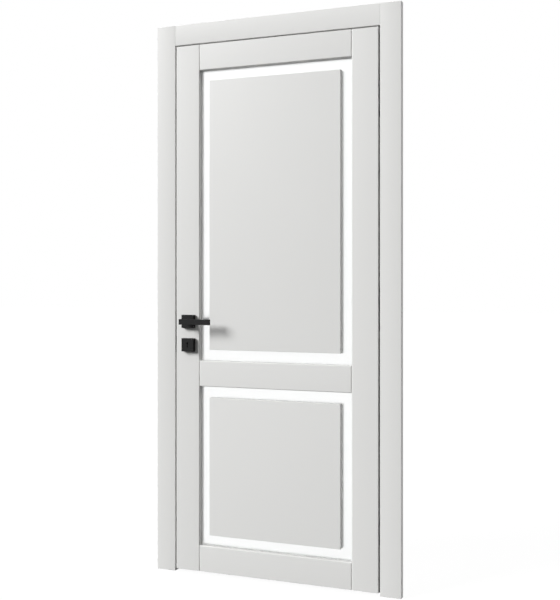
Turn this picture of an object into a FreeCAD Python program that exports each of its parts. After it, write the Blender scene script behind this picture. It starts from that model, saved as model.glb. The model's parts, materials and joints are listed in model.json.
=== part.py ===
import FreeCAD, Part
import os

# Interior door set: a glazed leaf with two floating panels, hung in a flush frame on
# concealed hinges, with a black lever and key plate.
# All lengths are millimetres. X runs towards the hinge side, Y runs into the wall, Z is up.
# The origin is on the wall face of the hinge jamb, halfway through the wall, at the
# finished floor.

# Leaf
LEAF_WIDTH = 800.0
LEAF_HEIGHT = 2000.0
LEAF_THICKNESS = 40.0
STILE_WIDTH = 98.0
TOP_RAIL_HEIGHT = 98.0
MIDDLE_RAIL_HEIGHT = 98.0
BOTTOM_RAIL_HEIGHT = 98.0
GLASS_MARGIN = 42.0
LOWER_PANEL_HEIGHT = 520.0
GLASS_THICKNESS = 4.0
GROOVE_DEPTH = 10.0
GROOVE_STOP = 14.0
GLASS_CLEARANCE = 0.2
JOINT_ARRIS = 3.5
OUTER_ARRIS = 1.2
PANEL_ARRIS = 1.0

# Running gaps round the leaf
LOCK_GAP = 6.5
HINGE_GAP = 6.5
TOP_GAP = 5.0
FLOOR_GAP = 10.0
LEAF_PROUD = 1.0

# Frame
WALL_THICKNESS = 100.0
CASING_WIDTH = 77.0
CASING_THICKNESS = 25.0
CASING_LIP = 8.0
CASING_ARRIS = 1.0
JAMB_THICKNESS = 36.0
JAMB_TONGUE_SETBACK = 2.0
JAMB_TONGUE_OVERLAP = 1.0
STOP_PROJECTION = 18.0
SEAL_SPACE = 6.0
SEAL_HEIGHT = 5.2
SEAL_WIDTH = 8.0
SEAL_ROUNDING = 3.1
SEAL_TONGUE = 5.0
SEAL_TONGUE_WIDTH = 2.6
SEAL_SETBACK = 7.0
FIT = 0.2

# Frame screws, two through each side jamb
SCREW_RADIUS = 4.0
SCREW_HEAD_RADIUS = 7.5
SCREW_HEAD_DEPTH = 4.0
SCREW_SPACING = 900.0
SCREW_STOP_DISTANCE = 30.0

# Lock and handles
BACKSET = 55.0
LEVER_HEIGHT = 958.0
KEY_DROP = 89.0
PLATE_SIZE = 50.0
PLATE_THICKNESS = 18.0
PLATE_ARRIS = 1.0
LEVER_PROJECTION = 62.0
LEVER_BAR_LENGTH = 128.0
LEVER_BAR_HEIGHT = 21.0
LEVER_BAR_THICKNESS = 9.0
LEVER_BAR_ARRIS = 1.2
LEVER_HEEL = 14.0
LEVER_NECK_RADIUS = 9.0
LEVER_NECK_CLEARANCE = 0.3
SPINDLE_SIZE = 8.0
SPINDLE_SOCKET_DEPTH = 24.0
SPINDLE_BORE_RADIUS = 10.0
FOLLOWER_BORE_RADIUS = 8.0
KEYHOLE_RADIUS = 4.2
KEYHOLE_SLOT_WIDTH = 4.0
KEYHOLE_RISE = 6.0
KEYHOLE_DROP = 16.0
LOCK_CASE_DEPTH = 76.0
LOCK_CASE_HEIGHT = 168.0
LOCK_CASE_THICKNESS = 15.0
LOCK_CASE_RISE = 45.0
FOREND_WIDTH = 18.0
FOREND_HEIGHT = 196.0
FOREND_THICKNESS = 3.0
BOLT_WIDTH = 12.0
BOLT_HEIGHT = 34.0
BOLT_LENGTH = 24.0
STRIKE_HEIGHT = 160.0
STRIKE_WIDTH = 22.0
STRIKE_THICKNESS = 2.0
STRIKE_PLAY = 1.5
STRIKE_POCKET_DEPTH = 16.0

# Concealed hinges: a shell let into each edge, and two cranked links in each pair
HINGE_END_DISTANCE = 240.0
HINGE_PLATE_HEIGHT = 154.0
HINGE_PLATE_THICKNESS = 3.0
HINGE_BODY_HEIGHT = 118.0
HINGE_BODY_WIDTH = 26.0
HINGE_BODY_DEPTH = 30.0
HINGE_WALL = 2.0
HINGE_SHELF = 3.0
HINGE_FACE_SETBACK = 11.0
SWING_AXIS_PROUD = 2.0
LINK_HALF_THICKNESS = 2.6
LINK_WALL_DISTANCE = 3.6
LINK_PIN_DEPTH = 13.0
LINK_FAR_ELBOW_DEPTH = 20.0
LINK_FAR_ELBOW_DROP = 0.7
LINK_END_DISTANCE = 11.2
LINK_EYE_RADIUS = 3.1
LINK_PIN_RADIUS = 2.2
LINK_PIN_REACH = 1.2
LINK_PIN_CLEARANCE = 0.06
LINK_END_PLAY = 0.4

# How close two places are when they count as one
SAME_PLACE = 1e-6

# Places worked out from the sizes above
WALL_FRONT = -WALL_THICKNESS / 2
JAMB_BACK = WALL_FRONT + WALL_THICKNESS
JAMB_SHOULDER = WALL_FRONT + JAMB_TONGUE_OVERLAP
CASING_FRONT = WALL_FRONT - CASING_THICKNESS
LEAF_FRONT = CASING_FRONT - LEAF_PROUD
LEAF_BACK = LEAF_FRONT + LEAF_THICKNESS
LEAF_MIDDLE = (LEAF_FRONT + LEAF_BACK) / 2
STOP_FACE = LEAF_BACK + SEAL_SPACE
JAMB_FRONT = CASING_FRONT + CASING_LIP

HINGE_JAMB_WALL = 0.0
HINGE_JAMB_FACE = HINGE_JAMB_WALL - JAMB_THICKNESS
LEAF_RIGHT = HINGE_JAMB_FACE - HINGE_GAP
LEAF_LEFT = LEAF_RIGHT - LEAF_WIDTH
LOCK_JAMB_FACE = LEAF_LEFT - LOCK_GAP
LOCK_JAMB_WALL = LOCK_JAMB_FACE - JAMB_THICKNESS
HINGE_STOP_EDGE = HINGE_JAMB_FACE - STOP_PROJECTION
LOCK_STOP_EDGE = LOCK_JAMB_FACE + STOP_PROJECTION

LEAF_BOTTOM = FLOOR_GAP
LEAF_TOP = LEAF_BOTTOM + LEAF_HEIGHT
LEAF_CENTRE = (LEAF_BOTTOM + LEAF_TOP) / 2
LEAF_SIDES = (("x", LEAF_LEFT), ("x", LEAF_RIGHT), ("z", LEAF_BOTTOM), ("z", LEAF_TOP))
HEAD_FACE = LEAF_TOP + TOP_GAP
HEAD_WALL = HEAD_FACE + JAMB_THICKNESS
HEAD_STOP_EDGE = HEAD_FACE - STOP_PROJECTION
CASING_TOP = HEAD_FACE + CASING_WIDTH

SEAL_HINGE = HINGE_STOP_EDGE + SEAL_SETBACK
SEAL_LOCK = LOCK_STOP_EDGE - SEAL_SETBACK
SEAL_HEAD = HEAD_STOP_EDGE + SEAL_SETBACK

OPENING_LEFT = LEAF_LEFT + STILE_WIDTH
OPENING_RIGHT = LEAF_RIGHT - STILE_WIDTH
PANEL_LEFT = OPENING_LEFT + GLASS_MARGIN
PANEL_RIGHT = OPENING_RIGHT - GLASS_MARGIN
BOTTOM_RAIL_TOP = LEAF_BOTTOM + BOTTOM_RAIL_HEIGHT
LOWER_PANEL_BOTTOM = BOTTOM_RAIL_TOP + GLASS_MARGIN
LOWER_PANEL_TOP = LOWER_PANEL_BOTTOM + LOWER_PANEL_HEIGHT
MIDDLE_RAIL_BOTTOM = LOWER_PANEL_TOP + GLASS_MARGIN
MIDDLE_RAIL_TOP = MIDDLE_RAIL_BOTTOM + MIDDLE_RAIL_HEIGHT
UPPER_PANEL_BOTTOM = MIDDLE_RAIL_TOP + GLASS_MARGIN
TOP_RAIL_BOTTOM = LEAF_TOP - TOP_RAIL_HEIGHT
UPPER_PANEL_TOP = TOP_RAIL_BOTTOM - GLASS_MARGIN

GLASS_FRONT = LEAF_MIDDLE - GLASS_THICKNESS / 2
GLASS_BACK = LEAF_MIDDLE + GLASS_THICKNESS / 2
GROOVE_FRONT = GLASS_FRONT - GLASS_CLEARANCE
GROOVE_BACK = GLASS_BACK + GLASS_CLEARANCE
GLASS_REACH = GROOVE_DEPTH - GLASS_CLEARANCE

LEVER_X = LEAF_LEFT + BACKSET
KEY_HEIGHT = LEVER_HEIGHT - KEY_DROP
BOLT_HEIGHTS = (LEVER_HEIGHT, KEY_HEIGHT)
PLATE_FRONT = LEAF_FRONT - PLATE_THICKNESS
LOCK_TOP = LEVER_HEIGHT + LOCK_CASE_RISE
LOCK_BOTTOM = LOCK_TOP - LOCK_CASE_HEIGHT
LOCK_CENTRE = (LOCK_TOP + LOCK_BOTTOM) / 2

HINGE_FRONT = LEAF_FRONT + HINGE_FACE_SETBACK
HINGE_BACK = HINGE_FRONT + HINGE_BODY_WIDTH
HINGE_HEIGHTS = (LEAF_BOTTOM + HINGE_END_DISTANCE, LEAF_CENTRE, LEAF_TOP - HINGE_END_DISTANCE)
SCREW_PLACE = STOP_FACE + SCREW_STOP_DISTANCE
SCREW_HEIGHTS = (LEAF_CENTRE - SCREW_SPACING / 2, LEAF_CENTRE + SCREW_SPACING / 2)


def box(x0, x1, y0, y1, z0, z1):
    """A block between two corners, given in any order."""
    corner = FreeCAD.Vector(min(x0, x1), min(y0, y1), min(z0, z1))
    return Part.makeBox(abs(x1 - x0), abs(y1 - y0), abs(z1 - z0), corner)


def bar_along_y(radius, y0, y1, x, z):
    """A round bar that lies along Y."""
    return Part.makeCylinder(radius, y1 - y0, FreeCAD.Vector(x, y0, z), FreeCAD.Vector(0, 1, 0))


def lies_in_plane(edge, axis, value):
    """Whether an edge lies where one coordinate has a value."""
    return all(abs(getattr(vertex.Point, axis) - value) < SAME_PLACE for vertex in edge.Vertexes)


def edges_in_plane(shape, axis, value):
    """The edges of a shape that lie where one coordinate has a value."""
    return [edge for edge in shape.Edges if lies_in_plane(edge, axis, value)]


def mirror_to_back(shape):
    """The same piece on the other face of the leaf."""
    return shape.mirror(FreeCAD.Vector(0, LEAF_MIDDLE, 0), FreeCAD.Vector(0, 1, 0))


def side_jamb(face, wall):
    """An upright jamb board, with a slimmer tongue in front of the wall."""
    outward = 1.0 if wall > face else -1.0
    tongue_side = wall - outward * JAMB_TONGUE_SETBACK
    tongue = box(face, tongue_side, JAMB_FRONT, JAMB_SHOULDER, 0.0, HEAD_WALL - JAMB_TONGUE_SETBACK)
    board = box(face, wall, JAMB_SHOULDER, JAMB_BACK, 0.0, HEAD_WALL)
    jamb = tongue.fuse(board).removeSplitter()
    for height in SCREW_HEIGHTS:
        jamb = jamb.cut(screw_hole(face, wall, outward, height))
    return jamb


def side_stop(face, stop_edge, seal_centre):
    """The stop planted on a side jamb, grooved for its seal."""
    outward = 1.0 if face > stop_edge else -1.0
    stop = box(stop_edge, face, STOP_FACE, JAMB_BACK, 0.0, HEAD_FACE)
    half = SEAL_TONGUE_WIDTH / 2 + FIT
    stop = stop.cut(seal_groove(seal_centre - half, seal_centre + half, 0.0, SEAL_HEAD + SEAL_WIDTH / 2))
    for height in SCREW_HEIGHTS:
        stop = stop.cut(screw_hole(stop_edge, face, outward, height))
        stop = stop.cut(screw_head_seat(stop_edge, outward, height))
    return stop


def head_stop():
    """The stop planted under the head jamb, between the side stops."""
    stop = box(LOCK_STOP_EDGE, HINGE_STOP_EDGE, STOP_FACE, JAMB_BACK, HEAD_STOP_EDGE, HEAD_FACE)
    half = SEAL_TONGUE_WIDTH / 2 + FIT
    return stop.cut(seal_groove(LOCK_STOP_EDGE, HINGE_STOP_EDGE, SEAL_HEAD - half, SEAL_HEAD + half))


def seal_groove(x0, x1, z0, z1):
    """The slot in the stop face that takes the seal's tongue."""
    return box(x0, x1, STOP_FACE, STOP_FACE + SEAL_TONGUE + FIT, z0, z1)


def screw_hole(start, end, outward, height):
    """A hole through a side board for one frame screw."""
    place = FreeCAD.Vector(start, SCREW_PLACE, height)
    return Part.makeCylinder(SCREW_RADIUS, abs(end - start), place, FreeCAD.Vector(outward, 0, 0))


def screw_head_seat(start, outward, height):
    """The countersink for one frame screw."""
    place = FreeCAD.Vector(start, SCREW_PLACE, height)
    return Part.makeCone(SCREW_HEAD_RADIUS, SCREW_RADIUS, SCREW_HEAD_DEPTH, place,
                         FreeCAD.Vector(outward, 0, 0))


def jamb_lock_side():
    """The lock jamb, with the bed for the strike plate and the bolts' pockets behind it."""
    jamb = side_jamb(LOCK_JAMB_FACE, LOCK_JAMB_WALL)
    half = STRIKE_WIDTH / 2 + FIT
    low = LOCK_CENTRE - STRIKE_HEIGHT / 2 - FIT
    high = LOCK_CENTRE + STRIKE_HEIGHT / 2 + FIT
    bed = box(LOCK_JAMB_FACE - STRIKE_THICKNESS, LOCK_JAMB_FACE,
              LEAF_MIDDLE - half, LEAF_MIDDLE + half, low, high)
    jamb = jamb.cut(bed)
    for height in BOLT_HEIGHTS:
        jamb = jamb.cut(bolt_window(height, STRIKE_POCKET_DEPTH))
    return jamb


def jamb_hinge_side():
    """The hinge jamb, mortised for the hinge shells."""
    jamb = side_jamb(HINGE_JAMB_FACE, HINGE_JAMB_WALL)
    for centre in HINGE_HEIGHTS:
        jamb = jamb.cut(hinge_block(HINGE_JAMB_FACE, 1.0, centre, FIT))
    return jamb


def jamb_head():
    """The head jamb, housed between the side jambs."""
    tongue = box(LOCK_JAMB_FACE, HINGE_JAMB_FACE, JAMB_FRONT, JAMB_SHOULDER,
                 HEAD_FACE, HEAD_WALL - JAMB_TONGUE_SETBACK)
    board = box(LOCK_JAMB_FACE, HINGE_JAMB_FACE, JAMB_SHOULDER, JAMB_BACK, HEAD_FACE, HEAD_WALL)
    return tongue.fuse(board).removeSplitter()


def casing_board(x0, x1, z0):
    """A casing board up to the casing's top, with soft arrises round its face."""
    board = box(x0, x1, CASING_FRONT, WALL_FRONT, z0, CASING_TOP)
    return board.makeFillet(CASING_ARRIS, edges_in_plane(board, "y", CASING_FRONT))


def casing_upright(inner_edge, outward):
    """A full-height casing, rebated at the back over the jamb's tongue."""
    outer_edge = inner_edge + outward * CASING_WIDTH
    x0 = min(inner_edge, outer_edge)
    x1 = max(inner_edge, outer_edge)
    board = casing_board(x0, x1, 0.0)
    rebate_edge = inner_edge + outward * (JAMB_THICKNESS + FIT)
    return board.cut(box(inner_edge, rebate_edge, JAMB_FRONT, WALL_FRONT, 0.0, HEAD_WALL + FIT))


def casing_head():
    """The head casing, butted between the upright casings."""
    board = casing_board(LOCK_JAMB_FACE, HINGE_JAMB_FACE, HEAD_FACE)
    return board.cut(box(LOCK_JAMB_FACE, HINGE_JAMB_FACE, JAMB_FRONT, WALL_FRONT,
                         HEAD_FACE, HEAD_WALL + FIT))


def seal_strip(x0, x1, z0, z1, tongue):
    """A bulb seal on the stop face, with its tongue in the groove."""
    front = STOP_FACE - SEAL_HEIGHT
    bulb = box(x0, x1, front, STOP_FACE, z0, z1)
    long_edges = [edge for edge in edges_in_plane(bulb, "y", front) if edge.Length > 2 * SEAL_WIDTH]
    bulb = bulb.makeFillet(SEAL_ROUNDING, long_edges)
    return bulb.fuse(tongue).removeSplitter()


def side_seal(centre):
    """The seal on one side stop, up past the head seal."""
    half = SEAL_WIDTH / 2
    slim = SEAL_TONGUE_WIDTH / 2
    top = SEAL_HEAD + half
    tongue = box(centre - slim, centre + slim, STOP_FACE, STOP_FACE + SEAL_TONGUE, 0.0, top)
    return seal_strip(centre - half, centre + half, 0.0, top, tongue)


def head_seal():
    """The seal on the head stop, between the side seals."""
    half = SEAL_WIDTH / 2
    slim = SEAL_TONGUE_WIDTH / 2
    tongue = box(LOCK_STOP_EDGE, HINGE_STOP_EDGE, STOP_FACE, STOP_FACE + SEAL_TONGUE,
                 SEAL_HEAD - slim, SEAL_HEAD + slim)
    return seal_strip(SEAL_LOCK + half, SEAL_HINGE - half, SEAL_HEAD - half, SEAL_HEAD + half, tongue)


def bolt_window(height, depth):
    """The room for one bolt, from the lock jamb's face inwards."""
    half_width = BOLT_WIDTH / 2 + STRIKE_PLAY
    half_height = BOLT_HEIGHT / 2 + STRIKE_PLAY
    return box(LOCK_JAMB_FACE - depth, LOCK_JAMB_FACE, LEAF_MIDDLE - half_width, LEAF_MIDDLE + half_width,
               height - half_height, height + half_height)


def strike_plate():
    """The keeper plate, let in flush with the lock jamb's face."""
    half = STRIKE_WIDTH / 2
    plate = box(LOCK_JAMB_FACE - STRIKE_THICKNESS, LOCK_JAMB_FACE, LEAF_MIDDLE - half, LEAF_MIDDLE + half,
                LOCK_CENTRE - STRIKE_HEIGHT / 2, LOCK_CENTRE + STRIKE_HEIGHT / 2)
    for height in BOLT_HEIGHTS:
        plate = plate.cut(bolt_window(height, STRIKE_THICKNESS))
    return plate


def leaf_board_edges(board, on_leaf_side):
    """The edges of a leaf board's faces that are on the leaf's outer sides, or those that aren't."""
    edges = edges_in_plane(board, "y", LEAF_FRONT) + edges_in_plane(board, "y", LEAF_BACK)
    return [edge for edge in edges
            if any(lies_in_plane(edge, axis, value) for axis, value in LEAF_SIDES) == on_leaf_side]


def leaf_board(x0, x1, z0, z1):
    """A stile or rail: soft arrises towards its neighbours, crisp ones on the leaf's outer sides."""
    board = box(x0, x1, LEAF_FRONT, LEAF_BACK, z0, z1)
    board = board.makeFillet(JOINT_ARRIS, leaf_board_edges(board, False))
    outer_edges = leaf_board_edges(board, True)
    if not outer_edges:
        return board
    return board.makeFillet(OUTER_ARRIS, outer_edges)


def stile(outer_edge, inner_edge, outward):
    """A full-height stile with the stopped groove for the glass and the rail tongues."""
    x0 = min(outer_edge, inner_edge)
    x1 = max(outer_edge, inner_edge)
    board = leaf_board(x0, x1, LEAF_BOTTOM, LEAF_TOP)
    groove = box(inner_edge, inner_edge + outward * GROOVE_DEPTH, GROOVE_FRONT, GROOVE_BACK,
                 LEAF_BOTTOM + GROOVE_STOP, LEAF_TOP - GROOVE_STOP)
    return board.cut(groove)


def stile_lock():
    """The lock stile, mortised for the lock and bored for spindle and key."""
    board = stile(LEAF_LEFT, OPENING_LEFT, -1.0)
    board = board.cut(lock_block(FIT))
    board = board.cut(forend_block(FIT))
    board = board.cut(bar_along_y(SPINDLE_BORE_RADIUS, LEAF_FRONT, LEAF_BACK, LEVER_X, LEVER_HEIGHT))
    return board.cut(keyhole(LEAF_FRONT, LEAF_BACK))


def stile_hinge():
    """The hinge stile, mortised for the hinge shells."""
    board = stile(LEAF_RIGHT, OPENING_RIGHT, 1.0)
    for centre in HINGE_HEIGHTS:
        board = board.cut(hinge_block(LEAF_RIGHT, -1.0, centre, FIT))
    return board


def rail(z0, z1, tongue_low, tongue_high, groove_bottoms):
    """A rail between the stiles, with a tongue at each end and grooved edges."""
    board = leaf_board(OPENING_LEFT, OPENING_RIGHT, z0, z1)
    tongue = box(OPENING_LEFT - GLASS_REACH, OPENING_RIGHT + GLASS_REACH,
                 GLASS_FRONT, GLASS_BACK, tongue_low, tongue_high)
    board = board.fuse(tongue).removeSplitter()
    for low in groove_bottoms:
        board = board.cut(box(OPENING_LEFT - GROOVE_DEPTH, OPENING_RIGHT + GROOVE_DEPTH,
                              GROOVE_FRONT, GROOVE_BACK, low, low + GROOVE_DEPTH))
    return board


def rail_top():
    """The top rail, grooved below."""
    tongue_top = LEAF_TOP - GROOVE_STOP - FIT
    return rail(TOP_RAIL_BOTTOM, LEAF_TOP, TOP_RAIL_BOTTOM, tongue_top, [TOP_RAIL_BOTTOM])


def rail_middle():
    """The middle rail, grooved on both edges."""
    grooves = [MIDDLE_RAIL_BOTTOM, MIDDLE_RAIL_TOP - GROOVE_DEPTH]
    return rail(MIDDLE_RAIL_BOTTOM, MIDDLE_RAIL_TOP, MIDDLE_RAIL_BOTTOM, MIDDLE_RAIL_TOP, grooves)


def rail_bottom():
    """The bottom rail, grooved above."""
    tongue_bottom = LEAF_BOTTOM + GROOVE_STOP + FIT
    return rail(LEAF_BOTTOM, BOTTOM_RAIL_TOP, tongue_bottom, BOTTOM_RAIL_TOP,
                [BOTTOM_RAIL_TOP - GROOVE_DEPTH])


def pane(z0, z1):
    """A glass pane that reaches into the grooves all round an opening."""
    return box(OPENING_LEFT - GLASS_REACH, OPENING_RIGHT + GLASS_REACH,
               GLASS_FRONT, GLASS_BACK, z0 - GLASS_REACH, z1 + GLASS_REACH)


def panel_board(z0, z1):
    """The front board of a floating panel, bonded to the glass."""
    board = box(PANEL_LEFT, PANEL_RIGHT, LEAF_FRONT, GLASS_FRONT, z0, z1)
    return board.makeFillet(PANEL_ARRIS, edges_in_plane(board, "y", LEAF_FRONT))


def lock_block(clearance):
    """The lock case's outside, or with a clearance its mortise."""
    x0 = LEAF_LEFT + FOREND_THICKNESS
    half = LOCK_CASE_THICKNESS / 2 + clearance
    return box(x0, x0 + LOCK_CASE_DEPTH + clearance, LEAF_MIDDLE - half, LEAF_MIDDLE + half,
               LOCK_BOTTOM - clearance, LOCK_TOP + clearance)


def forend_block(clearance):
    """The forend plate's outside, or with a clearance its bed."""
    half_width = FOREND_WIDTH / 2 + clearance
    half_height = FOREND_HEIGHT / 2 + clearance
    return box(LEAF_LEFT, LEAF_LEFT + FOREND_THICKNESS, LEAF_MIDDLE - half_width, LEAF_MIDDLE + half_width,
               LOCK_CENTRE - half_height, LOCK_CENTRE + half_height)


def bolt(height, clearance):
    """A bolt drawn into the lock, or with a clearance its guide."""
    half_width = BOLT_WIDTH / 2 + clearance
    half_height = BOLT_HEIGHT / 2 + clearance
    return box(LEAF_LEFT, LEAF_LEFT + BOLT_LENGTH + clearance, LEAF_MIDDLE - half_width,
               LEAF_MIDDLE + half_width, height - half_height, height + half_height)


def lock_forend():
    """The forend plate, with a window for each bolt."""
    plate = forend_block(0.0)
    for height in BOLT_HEIGHTS:
        plate = plate.cut(bolt(height, FIT))
    return plate


def square_bar(clearance, y0, y1):
    """The square spindle between two depths, or with a clearance its socket."""
    half = SPINDLE_SIZE / 2 + clearance
    return box(LEVER_X - half, LEVER_X + half, y0, y1, LEVER_HEIGHT - half, LEVER_HEIGHT + half)


def keyhole(y0, y1):
    """A round hole with a slot that hangs below it."""
    eye_height = KEY_HEIGHT + KEYHOLE_RISE
    half = KEYHOLE_SLOT_WIDTH / 2
    eye = bar_along_y(KEYHOLE_RADIUS, y0, y1, LEVER_X, eye_height)
    slot = box(LEVER_X - half, LEVER_X + half, y0, y1, eye_height - KEYHOLE_DROP, eye_height)
    return eye.fuse(slot).removeSplitter()


def lock_case():
    """The mortise lock's case."""
    case = lock_block(0.0)
    for height in BOLT_HEIGHTS:
        case = case.cut(bolt(height, FIT))
    case = case.cut(bar_along_y(FOLLOWER_BORE_RADIUS, LEAF_FRONT, LEAF_BACK, LEVER_X, LEVER_HEIGHT))
    return case.cut(keyhole(LEAF_FRONT, LEAF_BACK))


def square_plate(height):
    """A square cover plate with eased front edges, on the leaf's front face."""
    half = PLATE_SIZE / 2
    plate = box(LEVER_X - half, LEVER_X + half, PLATE_FRONT, LEAF_FRONT, height - half, height + half)
    return plate.makeFillet(PLATE_ARRIS, edges_in_plane(plate, "y", PLATE_FRONT))


def rosette():
    """The square rosette that the lever's neck turns in."""
    bore_radius = LEVER_NECK_RADIUS + LEVER_NECK_CLEARANCE
    return square_plate(LEVER_HEIGHT).cut(
        bar_along_y(bore_radius, PLATE_FRONT, LEAF_FRONT, LEVER_X, LEVER_HEIGHT))


def key_plate():
    """The square key plate below the rosette."""
    return square_plate(KEY_HEIGHT).cut(keyhole(PLATE_FRONT, LEAF_FRONT))


def lever():
    """A straight flat bar on a round neck, with the spindle's socket."""
    bar_front = LEAF_FRONT - LEVER_PROJECTION
    bar_back = bar_front + LEVER_BAR_THICKNESS
    half = LEVER_BAR_HEIGHT / 2
    heel = LEVER_X - LEVER_HEEL
    bar = box(heel, heel + LEVER_BAR_LENGTH, bar_front, bar_back, LEVER_HEIGHT - half, LEVER_HEIGHT + half)
    bar = bar.makeFillet(LEVER_BAR_ARRIS, bar.Edges)
    neck = bar_along_y(LEVER_NECK_RADIUS, bar_back - LEVER_BAR_ARRIS, LEAF_FRONT, LEVER_X, LEVER_HEIGHT)
    handle = bar.fuse(neck).removeSplitter()
    return handle.cut(square_bar(FIT, LEAF_FRONT - SPINDLE_SOCKET_DEPTH, LEAF_FRONT))


def spindle():
    """The square spindle from lever to lever."""
    reach = SPINDLE_SOCKET_DEPTH - FIT
    return square_bar(0.0, LEAF_FRONT - reach, LEAF_BACK + reach)


def hinge_block(face, inward, centre, clearance):
    """A hinge shell's outside: a round-ended face plate and the cup behind it."""
    half = HINGE_BODY_HEIGHT / 2 + clearance
    front = HINGE_FRONT - clearance
    back = HINGE_BACK + clearance
    cup = box(face, face + inward * (HINGE_BODY_DEPTH + clearance), front, back, centre - half, centre + half)
    radius = (back - front) / 2
    straight = HINGE_PLATE_HEIGHT / 2 + clearance - radius
    plate_depth = face + inward * HINGE_PLATE_THICKNESS
    plate = box(face, plate_depth, front, back, centre - straight, centre + straight)
    block = cup.fuse(plate)
    for height in (centre - straight, centre + straight):
        block = block.fuse(Part.makeCylinder(radius, HINGE_PLATE_THICKNESS,
                                             FreeCAD.Vector(face, front + radius, height),
                                             FreeCAD.Vector(inward, 0, 0)))
    return block.removeSplitter()


def cavity_range(centre, upper):
    """The lowest and highest level of a shell's upper or lower cavity."""
    near = HINGE_SHELF / 2
    far = HINGE_BODY_HEIGHT / 2 - HINGE_WALL
    if upper:
        return centre + near, centre + far
    return centre - far, centre - near


def hinge_cavity(face, inward, centre, upper):
    """The room in a shell for the links, open at the face."""
    low, high = cavity_range(centre, upper)
    return box(face, face + inward * (HINGE_BODY_DEPTH - HINGE_WALL),
               HINGE_FRONT + HINGE_WALL, HINGE_BACK - HINGE_WALL, low, high)


def link_pin(face, inward, centre, upper, radius, reach):
    """The upright pin of one link, or with a larger radius its holes in the shell."""
    low, high = cavity_range(centre, upper)
    place = FreeCAD.Vector(face + inward * LINK_PIN_DEPTH,
                           HINGE_FRONT + HINGE_WALL + LINK_WALL_DISTANCE, low - reach)
    return Part.makeCylinder(radius, high - low + 2 * reach, place)


def hinge_shell(face, inward, centre, own_link_upper):
    """A shell with two cavities, and pin holes in the cavity of its own link."""
    shell = hinge_block(face, inward, centre, 0.0)
    for upper in (True, False):
        shell = shell.cut(hinge_cavity(face, inward, centre, upper))
    hole_radius = LINK_PIN_RADIUS + LINK_PIN_CLEARANCE
    hole_reach = LINK_PIN_REACH + LINK_PIN_CLEARANCE
    return shell.cut(link_pin(face, inward, centre, own_link_upper, hole_radius, hole_reach))


def hinge_link(face, far_face, inward, centre, upper):
    """A cranked link: pinned in its own shell, its free end in the shell across the gap."""
    low, high = cavity_range(centre, upper)
    low = low + LINK_END_PLAY
    high = high - LINK_END_PLAY
    front = HINGE_FRONT + HINGE_WALL + LINK_WALL_DISTANCE
    back = HINGE_BACK - HINGE_WALL - LINK_WALL_DISTANCE
    pin_x = face + inward * LINK_PIN_DEPTH
    far_elbow_x = far_face - inward * LINK_FAR_ELBOW_DEPTH
    end_x = far_face - inward * (HINGE_BODY_DEPTH - HINGE_WALL - LINK_WALL_DISTANCE)
    end_y = HINGE_FRONT + LINK_END_DISTANCE
    path = Part.makePolygon([
        FreeCAD.Vector(pin_x, front, low),
        FreeCAD.Vector(pin_x, back, low),
        FreeCAD.Vector(far_elbow_x, back - LINK_FAR_ELBOW_DROP, low),
        FreeCAD.Vector(end_x, end_y, low),
    ])
    outline = path.makeOffset2D(LINK_HALF_THICKNESS, fill=True)
    link = outline.extrude(FreeCAD.Vector(0, 0, high - low))
    for x, y in ((pin_x, front), (end_x, end_y)):
        link = link.fuse(Part.makeCylinder(LINK_EYE_RADIUS, high - low, FreeCAD.Vector(x, y, low)))
    pin = link_pin(face, inward, centre, upper, LINK_PIN_RADIUS, LINK_PIN_REACH)
    return link.fuse(pin).removeSplitter()


def build():
    """Every piece by its name."""
    pieces = {
        "jamb_lock_side": jamb_lock_side(),
        "jamb_hinge_side": jamb_hinge_side(),
        "jamb_head": jamb_head(),
        "stop_lock_side": side_stop(LOCK_JAMB_FACE, LOCK_STOP_EDGE, SEAL_LOCK),
        "stop_hinge_side": side_stop(HINGE_JAMB_FACE, HINGE_STOP_EDGE, SEAL_HINGE),
        "stop_head": head_stop(),
        "casing_lock_side": casing_upright(LOCK_JAMB_FACE, -1.0),
        "casing_hinge_side": casing_upright(HINGE_JAMB_FACE, 1.0),
        "casing_head": casing_head(),
        "seal_lock_side": side_seal(SEAL_LOCK),
        "seal_hinge_side": side_seal(SEAL_HINGE),
        "seal_head": head_seal(),
        "strike_plate": strike_plate(),
        "stile_lock": stile_lock(),
        "stile_hinge": stile_hinge(),
        "rail_top": rail_top(),
        "rail_middle": rail_middle(),
        "rail_bottom": rail_bottom(),
        "glass_upper": pane(MIDDLE_RAIL_TOP, TOP_RAIL_BOTTOM),
        "glass_lower": pane(BOTTOM_RAIL_TOP, MIDDLE_RAIL_BOTTOM),
        "panel_upper_front": panel_board(UPPER_PANEL_BOTTOM, UPPER_PANEL_TOP),
        "panel_lower_front": panel_board(LOWER_PANEL_BOTTOM, LOWER_PANEL_TOP),
        "lock_case": lock_case(),
        "lock_forend": lock_forend(),
        "latch_bolt": bolt(LEVER_HEIGHT, 0.0),
        "dead_bolt": bolt(KEY_HEIGHT, 0.0),
        "rosette_front": rosette(),
        "key_plate_front": key_plate(),
        "lever_front": lever(),
        "spindle": spindle(),
    }
    for name in ("panel_upper", "panel_lower", "rosette", "key_plate", "lever"):
        pieces[name + "_back"] = mirror_to_back(pieces[name + "_front"])
    frame_links = []
    leaf_links = []
    for place, centre in zip(("bottom", "middle", "top"), HINGE_HEIGHTS):
        pieces["hinge_shell_frame_" + place] = hinge_shell(HINGE_JAMB_FACE, 1.0, centre, True)
        pieces["hinge_shell_leaf_" + place] = hinge_shell(LEAF_RIGHT, -1.0, centre, False)
        frame_links.append(hinge_link(HINGE_JAMB_FACE, LEAF_RIGHT, 1.0, centre, True))
        leaf_links.append(hinge_link(LEAF_RIGHT, HINGE_JAMB_FACE, -1.0, centre, False))
    pieces["hinge_links_frame"] = Part.makeCompound(frame_links)
    pieces["hinge_links_leaf"] = Part.makeCompound(leaf_links)
    return pieces


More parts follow.
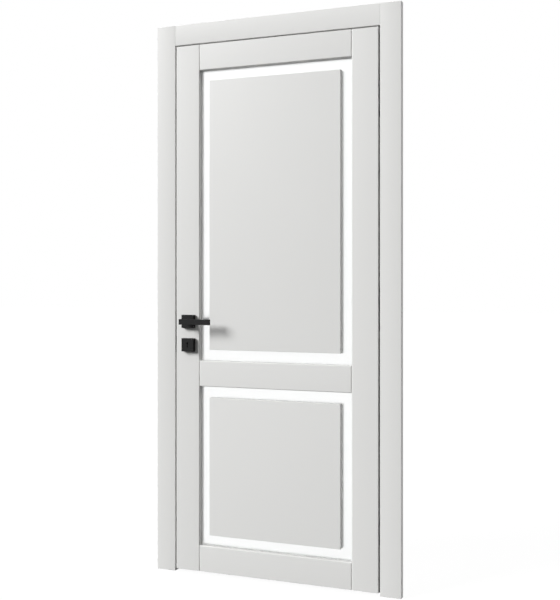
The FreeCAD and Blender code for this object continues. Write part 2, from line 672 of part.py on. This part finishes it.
os.makedirs("parts", exist_ok=True)
for name, shape in build().items():
    shape.exportStep("parts/" + name + ".step")
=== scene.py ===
"""Looks for the interior door set.

Paint, glass, metal and rubber for the pieces of the door, its small screws and cover caps, and the
floor, surround, lamps and camera of the picture.
"""
import json
import math

import bmesh
import bpy
from mathutils import Matrix, Vector


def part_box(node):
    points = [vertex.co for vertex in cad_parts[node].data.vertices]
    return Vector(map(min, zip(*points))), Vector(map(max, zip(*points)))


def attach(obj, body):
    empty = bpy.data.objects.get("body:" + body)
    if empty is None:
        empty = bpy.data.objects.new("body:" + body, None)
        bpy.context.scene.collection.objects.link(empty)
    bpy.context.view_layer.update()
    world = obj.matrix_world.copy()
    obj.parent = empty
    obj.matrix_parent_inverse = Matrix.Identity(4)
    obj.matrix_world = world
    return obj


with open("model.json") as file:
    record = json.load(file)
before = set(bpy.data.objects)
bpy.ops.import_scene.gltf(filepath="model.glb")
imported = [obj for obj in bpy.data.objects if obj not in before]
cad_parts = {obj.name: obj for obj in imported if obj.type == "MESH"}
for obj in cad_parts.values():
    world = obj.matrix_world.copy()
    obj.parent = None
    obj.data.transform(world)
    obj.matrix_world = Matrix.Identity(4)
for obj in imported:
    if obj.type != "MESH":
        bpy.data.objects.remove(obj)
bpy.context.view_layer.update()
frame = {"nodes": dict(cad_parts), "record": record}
MILLIMETRE = 0.001

# Camera, in metres and degrees, from the photo's vanishing points
CAMERA_PLACE = (0.8895, -3.338, 1.112)
CAMERA_YAW = 21.8
CAMERA_LENS = 57.42
CAMERA_SHIFT_Y = -0.0317
CAMERA_REACH = 200.0

# Key lamp: the direction that it shines from, and its width in degrees, from the lever's shadow
KEY_DIRECTION = (-0.95, -1.0, 0.66)
KEY_DISTANCE = 10.0
KEY_WIDTH = 25.0
KEY_STRENGTH = 3.235

# Second lamp, nearer and above, that lights the upper left corner more, in metres and watts
NEAR_PLACE = (-2.6, -2.6, 3.9)
NEAR_TARGET = (-0.85, -0.07, 1.7)
NEAR_SIZE = 1.2
NEAR_POWER = 7.0

# Surround: the light that comes from overhead and from behind the door
OVERHEAD_LIGHT = 0.38
BACKDROP_LIGHT = 1.75

# Floor: its colour in the light that it gives back, and its glow and shadow where it is seen
FLOOR_GREY = 0.12
FLOOR_GLOW = 0.94
FLOOR_SHADOW = 0.08
FLOOR_REACH = 30.0
FLOOR_DROP = 0.5 * MILLIMETRE

# Sprayed satin paint: its roughness, with glossier and duller patches, its clouds and its grain
WHITE_PAINT = (0.82, 0.82, 0.806)
BOARD_ROUGHNESS = 0.42
PANEL_ROUGHNESS = 0.38
PAINT_SPECULAR = 0.3
GLOSS_PATCH_SCALE = 9.0
GLOSS_PATCHES = (-0.04, 0.05)
PATCH_DETAIL = 3.0
CLOUD_SCALE = 2.2
CLOUD_SPREAD = 0.008
ORANGE_PEEL_SCALE = 420.0
ORANGE_PEEL = 0.03 * MILLIMETRE

# How far a board's face seems to swell between its edges, in its shading alone
CASING_CROWN = 1.3 * MILLIMETRE
HEAD_CASING_CROWN = 1.2 * MILLIMETRE
STILE_CROWN = 0.7 * MILLIMETRE
STILE_LENGTH_CROWN = 9.0 * MILLIMETRE
RAIL_CROWN = 0.65 * MILLIMETRE
RAIL_LENGTH_CROWN = 5.3 * MILLIMETRE
PANEL_CROWN = 4.4 * MILLIMETRE
UPPER_PANEL_LENGTH_CROWN = 6.4 * MILLIMETRE
LOWER_PANEL_LENGTH_CROWN = 3.9 * MILLIMETRE

# Etched glass
GLASS_TINT = (0.99, 1.0, 0.996)
GLASS_ROUGHNESS = 0.32
GLASS_INDEX = 1.5
GLASS_SPECULAR = 0.5
ETCHING_SCALE = 700.0
ETCHING_ROUGHNESS = (0.28, 0.36)

# Black powder coat
BLACK = (0.017, 0.017, 0.0175)
BLACK_ROUGHNESS = 0.5
BLACK_SPECULAR = 0.1
POWDER_SCALE = 1600.0
POWDER_ROUGHNESS = (0.45, 0.56)

# Brushed metals: how far the lines stretch along Z, and how their gloss varies
STEEL = (0.6, 0.6, 0.6)
STEEL_ROUGHNESS = 0.32
STEEL_STRETCH = (1.0, 1.0, 0.02)
HINGE_GREY = (0.55, 0.55, 0.56)
HINGE_ROUGHNESS = 0.38
HINGE_STRETCH = (1.0, 1.0, 0.05)
BRUSHED_SCALE = 260.0
BRUSHED_DETAIL = 4.0
BRUSHED_ROUGHNESS = 0.6
BRUSHED_GLOSS = (-0.07, 0.10)

# Grain of the metals, as a spread of their colour and as a height
METAL_SPREAD = 0.08
METAL_GRAIN = 0.02 * MILLIMETRE

# Rubber seal
SEAL_BLACK = (0.03, 0.03, 0.03)
SEAL_ROUGHNESS = 0.7
SEAL_BLOOM_SCALE = 60.0
SEAL_SPREAD = 0.2
SEAL_GRAIN_SCALE = 900.0
SEAL_GRAIN = 0.03 * MILLIMETRE

# White plastic of the cover caps
CAP_WHITE = (0.80, 0.80, 0.79)
CAP_ROUGHNESS = 0.3
CAP_BLOOM_SCALE = 300.0
CAP_SPREAD = 0.01
CAP_GLOSS = (0.26, 0.36)

# Small fasteners
HINGE_SCREW_RADIUS = 5.0 * MILLIMETRE
HINGE_SCREW_END_DISTANCE = 10.0 * MILLIMETRE
LOCK_SCREW_RADIUS = 3.8 * MILLIMETRE
FOREND_SCREW_END_DISTANCE = 9.0 * MILLIMETRE
STRIKE_SCREW_END_DISTANCE = 6.0 * MILLIMETRE
SCREW_RISE = 0.5 * MILLIMETRE
LOW_SCREW_TURN = 20.0
HIGH_SCREW_TURN = 50.0
CAP_RADIUS = 8.5 * MILLIMETRE
CAP_RISE = 1.6 * MILLIMETRE
FRAME_SCREW_SPACING = 900.0 * MILLIMETRE
FRAME_SCREW_STOP_DISTANCE = 30.0 * MILLIMETRE

# Form of a screw head and of a cap: shares of its radius and of its rise, and its folds in degrees
ROUND_STEPS = 48
SHOULDER_RADIUS = 0.97
SHOULDER_HEIGHT = 0.45
CREST_RADIUS = 0.70
CREST_HEIGHT = 0.85
CROSS_ARM = 0.56
CROSS_WIDTH = 0.13
CROSS_TAPER = 0.8
CROSS_FLOOR = 0.15
FLANGE_HEIGHT = 0.25
DOME_RADIUS = 0.97
DOME_START = 0.3
DOME_LEVELS = 6
SHARPEST_SMOOTH_FOLD = 35.0
NEARLY_ZERO = 1e-6


def grey(level):
    """A grey, or white at level 1, for a shader's colour socket."""
    return (level, level, level, 1.0)


def new_material(name, colour, roughness, metallic=0.0):
    """A material with its shader's own sockets set; returns it with its tree and shader."""
    material = bpy.data.materials.new(name)
    material.use_nodes = True
    material.diffuse_color = (*colour, 1.0)
    tree = material.node_tree
    shader = tree.nodes["Principled BSDF"]
    shader.inputs["Base Color"].default_value = (*colour, 1.0)
    shader.inputs["Roughness"].default_value = roughness
    shader.inputs["Metallic"].default_value = metallic
    return material, tree, shader


def coordinates(tree, scale=(1.0, 1.0, 1.0)):
    """Places on the mesh in metres, stretched by a scale."""
    source = tree.nodes.new("ShaderNodeTexCoord")
    mapping = tree.nodes.new("ShaderNodeMapping")
    mapping.inputs["Scale"].default_value = scale
    tree.links.new(source.outputs["Object"], mapping.inputs["Vector"])
    return mapping.outputs["Vector"]


def noise(tree, vector, scale, detail=2.0, roughness=0.5):
    """A noise texture's value."""
    node = tree.nodes.new("ShaderNodeTexNoise")
    node.inputs["Scale"].default_value = scale
    node.inputs["Detail"].default_value = detail
    node.inputs["Roughness"].default_value = roughness
    tree.links.new(vector, node.inputs["Vector"])
    return node.outputs["Fac"]


def mapped(tree, value, low, high):
    """A value from 0..1 moved to low..high; one that lies outside is held at the nearer end."""
    node = tree.nodes.new("ShaderNodeMapRange")
    node.inputs["To Min"].default_value = low
    node.inputs["To Max"].default_value = high
    tree.links.new(value, node.inputs["Value"])
    return node.outputs["Result"]


def combined(tree, operation, first, second):
    """Two values put through one sum, product, greater of the two or the like."""
    node = tree.nodes.new("ShaderNodeMath")
    node.operation = operation
    tree.links.new(first, node.inputs[0])
    tree.links.new(second, node.inputs[1])
    return node.outputs["Value"]


def along(tree, axis):
    """One coordinate, from 0 to 1 across a mesh, or from -1 to 1 across the sky."""
    source = tree.nodes.new("ShaderNodeTexCoord")
    split = tree.nodes.new("ShaderNodeSeparateXYZ")
    tree.links.new(source.outputs["Generated"], split.inputs["Vector"])
    return split.outputs[axis]


def crown(tree, axis, height):
    """The height of a face that swells as a parabola between the two edges of its mesh."""
    place = mapped(tree, along(tree, axis), -1.0, 1.0)
    return mapped(tree, combined(tree, "MULTIPLY", place, place), height, 0.0)


def add_bump(tree, shader, height):
    """A bump whose height is given in metres."""
    bump = tree.nodes.new("ShaderNodeBump")
    bump.inputs["Strength"].default_value = 1.0
    bump.inputs["Distance"].default_value = 1.0
    tree.links.new(height, bump.inputs["Height"])
    tree.links.new(bump.outputs["Normal"], shader.inputs["Normal"])


def add_tint(tree, shader, colour, value, spread):
    """The base colour, lighter and darker by a spread as a value goes from 0 to 1."""
    ramp = tree.nodes.new("ShaderNodeValToRGB")
    ramp.color_ramp.elements[0].color = (*[c * (1 - spread) for c in colour], 1.0)
    ramp.color_ramp.elements[1].color = (*[min(1.0, c * (1 + spread)) for c in colour], 1.0)
    tree.links.new(value, ramp.inputs["Fac"])
    tree.links.new(ramp.outputs["Color"], shader.inputs["Base Color"])


def add_gloss(tree, shader, value, low, high):
    """The roughness, from low to high as a value goes from 0 to 1."""
    tree.links.new(mapped(tree, value, low, high), shader.inputs["Roughness"])


def paint(name, roughness, crowns=()):
    """Sprayed satin paint: orange peel, a little cloudiness, and the crown of the board under it."""
    material, tree, shader = new_material(name, WHITE_PAINT, roughness)
    shader.inputs["Specular IOR Level"].default_value = PAINT_SPECULAR
    vector = coordinates(tree)
    add_tint(tree, shader, WHITE_PAINT, noise(tree, vector, CLOUD_SCALE), CLOUD_SPREAD)
    glossier, duller = GLOSS_PATCHES
    patches = noise(tree, vector, GLOSS_PATCH_SCALE, PATCH_DETAIL)
    add_gloss(tree, shader, patches, roughness + glossier, roughness + duller)
    height = mapped(tree, noise(tree, vector, ORANGE_PEEL_SCALE), 0.0, ORANGE_PEEL)
    for axis, rise in crowns:
        height = combined(tree, "ADD", height, crown(tree, axis, rise))
    add_bump(tree, shader, height)
    return material


def satin_glass():
    """Etched float glass: light comes through, and what is close behind shows as a soft shape."""
    material, tree, shader = new_material("satin_glass", GLASS_TINT, GLASS_ROUGHNESS)
    shader.inputs["Transmission Weight"].default_value = 1.0
    shader.inputs["IOR"].default_value = GLASS_INDEX
    shader.inputs["Specular IOR Level"].default_value = GLASS_SPECULAR
    etching = noise(tree, coordinates(tree), ETCHING_SCALE)
    add_gloss(tree, shader, etching, *ETCHING_ROUGHNESS)
    return material


def black_metal():
    """Powder-coated metal with a fine grain."""
    material, tree, shader = new_material("black_metal", BLACK, BLACK_ROUGHNESS)
    shader.inputs["Specular IOR Level"].default_value = BLACK_SPECULAR
    grain = noise(tree, coordinates(tree), POWDER_SCALE)
    add_gloss(tree, shader, grain, *POWDER_ROUGHNESS)
    add_tint(tree, shader, BLACK, grain, METAL_SPREAD)
    add_bump(tree, shader, mapped(tree, grain, 0.0, METAL_GRAIN))
    return material


def brushed_metal(name, colour, stretch, roughness):
    """Brushed metal, its lines drawn along one axis."""
    material, tree, shader = new_material(name, colour, roughness, 1.0)
    lines = noise(tree, coordinates(tree, stretch), BRUSHED_SCALE, BRUSHED_DETAIL, BRUSHED_ROUGHNESS)
    add_tint(tree, shader, colour, lines, METAL_SPREAD)
    glossier, duller = BRUSHED_GLOSS
    add_gloss(tree, shader, lines, roughness + glossier, roughness + duller)
    add_bump(tree, shader, mapped(tree, lines, 0.0, METAL_GRAIN))
    return material


def seal_rubber():
    """Black extruded rubber with a soft bloom."""
    material, tree, shader = new_material("seal_rubber", SEAL_BLACK, SEAL_ROUGHNESS)
    vector = coordinates(tree)
    bloom = noise(tree, vector, SEAL_BLOOM_SCALE, PATCH_DETAIL)
    add_tint(tree, shader, SEAL_BLACK, bloom, SEAL_SPREAD)
    grain = noise(tree, vector, SEAL_GRAIN_SCALE)
    add_bump(tree, shader, mapped(tree, grain, 0.0, SEAL_GRAIN))
    return material


def cap_plastic():
    """Moulded white plastic, smoother than the paint round it."""
    material, tree, shader = new_material("cap_plastic", CAP_WHITE, CAP_ROUGHNESS)
    bloom = noise(tree, coordinates(tree), CAP_BLOOM_SCALE)
    add_tint(tree, shader, CAP_WHITE, bloom, CAP_SPREAD)
    add_gloss(tree, shader, bloom, *CAP_GLOSS)
    return material


def slot_materials():
    """The finish of each material slot in the record."""
    upper_panel_crowns = [("X", PANEL_CROWN), ("Z", UPPER_PANEL_LENGTH_CROWN)]
    return {
        "frame_white_paint": paint("frame_white_paint", BOARD_ROUGHNESS),
        "leaf_white_paint": paint("leaf_white_paint", BOARD_ROUGHNESS),
        "satin_glass": satin_glass(),
        "black_metal": black_metal(),
        "lock_steel": brushed_metal("lock_steel", STEEL, STEEL_STRETCH, STEEL_ROUGHNESS),
        "hinge_metal": brushed_metal("hinge_metal", HINGE_GREY, HINGE_STRETCH, HINGE_ROUGHNESS),
        "seal_rubber": seal_rubber(),
        "panel_white_paint": paint("panel_white_paint", PANEL_ROUGHNESS, upper_panel_crowns),
    }


def crowned_paints():
    """The paint of each board whose own crown differs from its slot's."""
    stile_crowns = [("X", STILE_CROWN), ("Z", STILE_LENGTH_CROWN)]
    rail_crowns = [("X", RAIL_LENGTH_CROWN), ("Z", RAIL_CROWN)]
    lower_panel_crowns = [("X", PANEL_CROWN), ("Z", LOWER_PANEL_LENGTH_CROWN)]
    upright_casing = paint("casing_paint_upright", BOARD_ROUGHNESS, [("X", CASING_CROWN)])
    stile = paint("leaf_paint_upright", BOARD_ROUGHNESS, stile_crowns)
    rail = paint("leaf_paint_level", BOARD_ROUGHNESS, rail_crowns)
    lower_panel = paint("panel_paint_lower", PANEL_ROUGHNESS, lower_panel_crowns)
    return {
        "casing_hinge_side": upright_casing,
        "casing_lock_side": upright_casing,
        "casing_head": paint("casing_paint_level", BOARD_ROUGHNESS, [("Z", HEAD_CASING_CROWN)]),
        "stile_hinge": stile,
        "stile_lock": stile,
        "rail_top": rail,
        "rail_middle": rail,
        "rail_bottom": rail,
        "panel_lower_front": lower_panel,
        "panel_lower_back": lower_panel,
    }


def finish_nodes(materials):
    """Each node of the frame gets its own board's paint, or else the finish of its slot."""
    crowned = crowned_paints()
    for part in frame["record"]["subparts"]:
        mesh = frame["nodes"][part["node"]].data
        mesh.materials.clear()
        mesh.materials.append(crowned.get(part["node"], materials[part["material_slot"]]))


def facing(place, direction):
    """A placement whose Z axis points in a direction."""
    turn = Vector(direction).to_track_quat("Z", "Y").to_matrix().to_4x4()
    return Matrix.Translation(Vector(place)) @ turn


def ring(bm, radius, height):
    """A circle of vertices at a height."""
    found = []
    for step in range(ROUND_STEPS):
        angle = math.tau * step / ROUND_STEPS
        found.append(bm.verts.new((radius * math.cos(angle), radius * math.sin(angle), height)))
    return found


def bridge(bm, lower, upper):
    """Faces between two rings with the same count."""
    count = len(lower)
    for index in range(count):
        after = (index + 1) % count
        bm.faces.new((lower[index], lower[after], upper[after], upper[index]))


def close(bm, rim, height):
    """Faces from a ring to a point in its middle."""
    centre = bm.verts.new((0.0, 0.0, height))
    count = len(rim)
    for index in range(count):
        bm.faces.new((rim[index], rim[(index + 1) % count], centre))


def cross_outline(radius, arm, width):
    """A cross-shaped ring of points, one for each of the head's steps."""
    points = []
    for step in range(ROUND_STEPS):
        angle = math.tau * step / ROUND_STEPS
        x = math.cos(angle)
        y = math.sin(angle)
        nearer, farther = sorted((abs(x), abs(y)))
        reach = min(width / max(nearer, NEARLY_ZERO), arm / farther, radius)
        points.append((x * reach, y * reach))
    return points


def screw_mesh(name, radius, material):
    """A raised countersunk head with a cross recess."""
    bm = bmesh.new()
    rim = ring(bm, radius, 0.0)
    shoulder = ring(bm, radius * SHOULDER_RADIUS, SCREW_RISE * SHOULDER_HEIGHT)
    crest = ring(bm, radius * CREST_RADIUS, SCREW_RISE * CREST_HEIGHT)
    outline = cross_outline(radius, radius * CROSS_ARM, radius * CROSS_WIDTH)
    depth = SCREW_RISE * CROSS_FLOOR
    lip = [bm.verts.new((x, y, SCREW_RISE)) for x, y in outline]
    sole = [bm.verts.new((x * CROSS_TAPER, y * CROSS_TAPER, depth)) for x, y in outline]
    for lower, upper in ((rim, shoulder), (shoulder, crest), (crest, lip), (lip, sole)):
        bridge(bm, lower, upper)
    close(bm, sole, depth)
    return finished(bm, name, material)


def cap_mesh(name, material):
    """A domed cover cap with a thin flange."""
    bm = bmesh.new()
    rings = [ring(bm, CAP_RADIUS, 0.0), ring(bm, CAP_RADIUS, CAP_RISE * FLANGE_HEIGHT)]
    for level in range(1, DOME_LEVELS):
        turn = math.pi / 2 * level / DOME_LEVELS
        height = CAP_RISE * (DOME_START + (1 - DOME_START) * math.sin(turn))
        rings.append(ring(bm, CAP_RADIUS * DOME_RADIUS * math.cos(turn), height))
    for lower, upper in zip(rings, rings[1:]):
        bridge(bm, lower, upper)
    close(bm, rings[-1], CAP_RISE)
    return finished(bm, name, material)


def finished(bm, name, material):
    """A smooth mesh from what was built, with its sharp folds kept and its material on it."""
    bmesh.ops.recalc_face_normals(bm, faces=bm.faces)
    for face in bm.faces:
        face.smooth = True
    limit = math.radians(SHARPEST_SMOOTH_FOLD)
    for edge in bm.edges:
        edge.smooth = len(edge.link_faces) == 2 and edge.calc_face_angle() < limit
    mesh = bpy.data.meshes.new(name)
    bm.to_mesh(mesh)
    bm.free()
    mesh.materials.append(material)
    return mesh


def place_piece(name, mesh, matrix, body):
    """A small piece in its place, riding on a body of the frame."""
    piece = bpy.data.objects.new(name, mesh)
    piece.matrix_world = matrix
    bpy.context.scene.collection.objects.link(piece)
    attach(piece, body)


def end_screws(node, side, body, mesh, end_distance):
    """A screw near each end of a plate that stands upright, on its left or right face."""
    low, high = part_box(node)
    face = high.x if side > 0 else low.x
    middle = (low.y + high.y) / 2
    ends = (
        ("low", low.z + end_distance, LOW_SCREW_TURN),
        ("high", high.z - end_distance, HIGH_SCREW_TURN),
    )
    for end, height, turn in ends:
        matrix = facing((face, middle, height), (side, 0, 0))
        matrix = matrix @ Matrix.Rotation(math.radians(turn), 4, "Z")
        place_piece("screw_" + node + "_" + end, mesh, matrix, body)


def add_screws(materials):
    """The screws of the hinges, forend and strike plate."""
    hinge_screw = screw_mesh("hinge_screw", HINGE_SCREW_RADIUS, materials["hinge_metal"])
    lock_screw = screw_mesh("lock_screw", LOCK_SCREW_RADIUS, materials["lock_steel"])
    for level in ("bottom", "middle", "top"):
        for body, side in (("frame", -1), ("leaf", 1)):
            shell = "hinge_shell_" + body + "_" + level
            end_screws(shell, side, body, hinge_screw, HINGE_SCREW_END_DISTANCE)
    end_screws("lock_forend", -1, "leaf", lock_screw, FOREND_SCREW_END_DISTANCE)
    end_screws("strike_plate", 1, "frame", lock_screw, STRIKE_SCREW_END_DISTANCE)


def add_cover_caps():
    """A white cap over the head of each frame screw, on the faces of the stops."""
    mesh = cap_mesh("cover_cap", cap_plastic())
    leaf_low, leaf_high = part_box("stile_lock")
    middle = (leaf_low.z + leaf_high.z) / 2
    ends = (("low", middle - FRAME_SCREW_SPACING / 2), ("high", middle + FRAME_SCREW_SPACING / 2))
    for node, side in (("stop_lock_side", 1), ("stop_hinge_side", -1)):
        low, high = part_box(node)
        face = high.x if side > 0 else low.x
        for end, height in ends:
            matrix = facing((face, low.y + FRAME_SCREW_STOP_DISTANCE, height), (side, 0, 0))
            place_piece("cap_" + node + "_" + end, mesh, matrix, "frame")


def seen_directly(tree):
    """1 for camera rays and for those that gloss or glass passes on, 0 for light on matt surfaces.

    Diffuse Depth counts the bounces off matt surfaces, so 0.5 parts none from one or more.
    """
    path = tree.nodes.new("ShaderNodeLightPath")
    bent = combined(tree, "MAXIMUM", path.outputs["Is Glossy Ray"], path.outputs["Is Transmission Ray"])
    seen = combined(tree, "MAXIMUM", bent, path.outputs["Is Camera Ray"])
    no_bounce = tree.nodes.new("ShaderNodeMath")
    no_bounce.operation = "LESS_THAN"
    no_bounce.inputs[1].default_value = 0.5
    tree.links.new(path.outputs["Diffuse Depth"], no_bounce.inputs[0])
    return combined(tree, "MULTIPLY", seen, no_bounce.outputs["Value"])


def show_where_seen(tree, lighting, seen, output_kind):
    """One shader for the light that falls on things, and another for what is seen."""
    mix = tree.nodes.new("ShaderNodeMixShader")
    tree.links.new(seen_directly(tree), mix.inputs["Fac"])
    tree.links.new(lighting.outputs[0], mix.inputs[1])
    tree.links.new(seen.outputs[0], mix.inputs[2])
    output = tree.nodes.new(output_kind)
    tree.links.new(mix.outputs[0], output.inputs["Surface"])


def matt(tree, level):
    """A plain matt grey."""
    shader = tree.nodes.new("ShaderNodeBsdfDiffuse")
    shader.inputs["Color"].default_value = grey(level)
    return shader


def floor_material():
    """Grey in the light that it gives back; where it is seen, near white with a faint shadow."""
    material = bpy.data.materials.new("floor")
    material.use_nodes = True
    tree = material.node_tree
    tree.nodes.clear()
    glow = tree.nodes.new("ShaderNodeEmission")
    glow.inputs["Color"].default_value = grey(1.0)
    glow.inputs["Strength"].default_value = FLOOR_GLOW
    seen = tree.nodes.new("ShaderNodeAddShader")
    tree.links.new(matt(tree, FLOOR_SHADOW).outputs[0], seen.inputs[0])
    tree.links.new(glow.outputs[0], seen.inputs[1])
    show_where_seen(tree, matt(tree, FLOOR_GREY), seen, "ShaderNodeOutputMaterial")
    return material


def add_floor():
    """A pale floor that reaches out of sight."""
    reach = FLOOR_REACH
    corners = [(-reach, -reach, 0), (reach, -reach, 0), (reach, reach, 0), (-reach, reach, 0)]
    mesh = bpy.data.meshes.new("floor")
    mesh.from_pydata(corners, [], [(0, 1, 2, 3)])
    mesh.materials.append(floor_material())
    floor = bpy.data.objects.new("floor", mesh)
    floor.location.z = -FLOOR_DROP
    bpy.context.scene.collection.objects.link(floor)


def add_surround():
    """White where it is seen; its light is soft and comes from overhead and from behind the door."""
    world = bpy.data.worlds.new("surround")
    bpy.context.scene.world = world
    world.use_nodes = True
    tree = world.node_tree
    tree.nodes.clear()
    overhead = mapped(tree, along(tree, "Z"), 0.0, OVERHEAD_LIGHT)
    backdrop = mapped(tree, along(tree, "Y"), 0.0, BACKDROP_LIGHT)
    lighting = tree.nodes.new("ShaderNodeBackground")
    lighting.inputs["Color"].default_value = grey(1.0)
    tree.links.new(combined(tree, "ADD", overhead, backdrop), lighting.inputs["Strength"])
    seen = tree.nodes.new("ShaderNodeBackground")
    seen.inputs["Color"].default_value = grey(1.0)
    seen.inputs["Strength"].default_value = 1.0
    show_where_seen(tree, lighting, seen, "ShaderNodeOutputWorld")


def add_lamp(lamp, place, direction):
    """A lamp in its place, shining against a direction."""
    light = bpy.data.objects.new(lamp.name, lamp)
    light.location = place
    light.rotation_euler = direction.to_track_quat("Z", "Y").to_euler()
    bpy.context.scene.collection.objects.link(light)


def add_lamps():
    """A wide far lamp at the upper left in front, and a small near one."""
    key = bpy.data.lights.new("key", "SUN")
    key.angle = math.radians(KEY_WIDTH)
    key.energy = KEY_STRENGTH
    direction = Vector(KEY_DIRECTION)
    add_lamp(key, direction * KEY_DISTANCE, direction)
    near = bpy.data.lights.new("near", "AREA")
    near.shape = "DISK"
    near.size = NEAR_SIZE
    near.energy = NEAR_POWER
    place = Vector(NEAR_PLACE)
    add_lamp(near, place, place - Vector(NEAR_TARGET))


def add_camera():
    """The photo's camera: level, to the right of the door, looking left."""
    data = bpy.data.cameras.new("camera")
    data.lens = CAMERA_LENS
    data.shift_y = CAMERA_SHIFT_Y
    data.clip_end = CAMERA_REACH
    eye = bpy.data.objects.new("camera", data)
    eye.location = CAMERA_PLACE
    eye.rotation_euler = (math.radians(90), 0.0, math.radians(CAMERA_YAW))
    bpy.context.scene.collection.objects.link(eye)
    bpy.context.scene.camera = eye


finishes = slot_materials()
finish_nodes(finishes)
add_screws(finishes)
add_cover_caps()
add_floor()
add_surround()
add_lamps()
add_camera()
bpy.context.scene.view_settings.view_transform = "Standard"
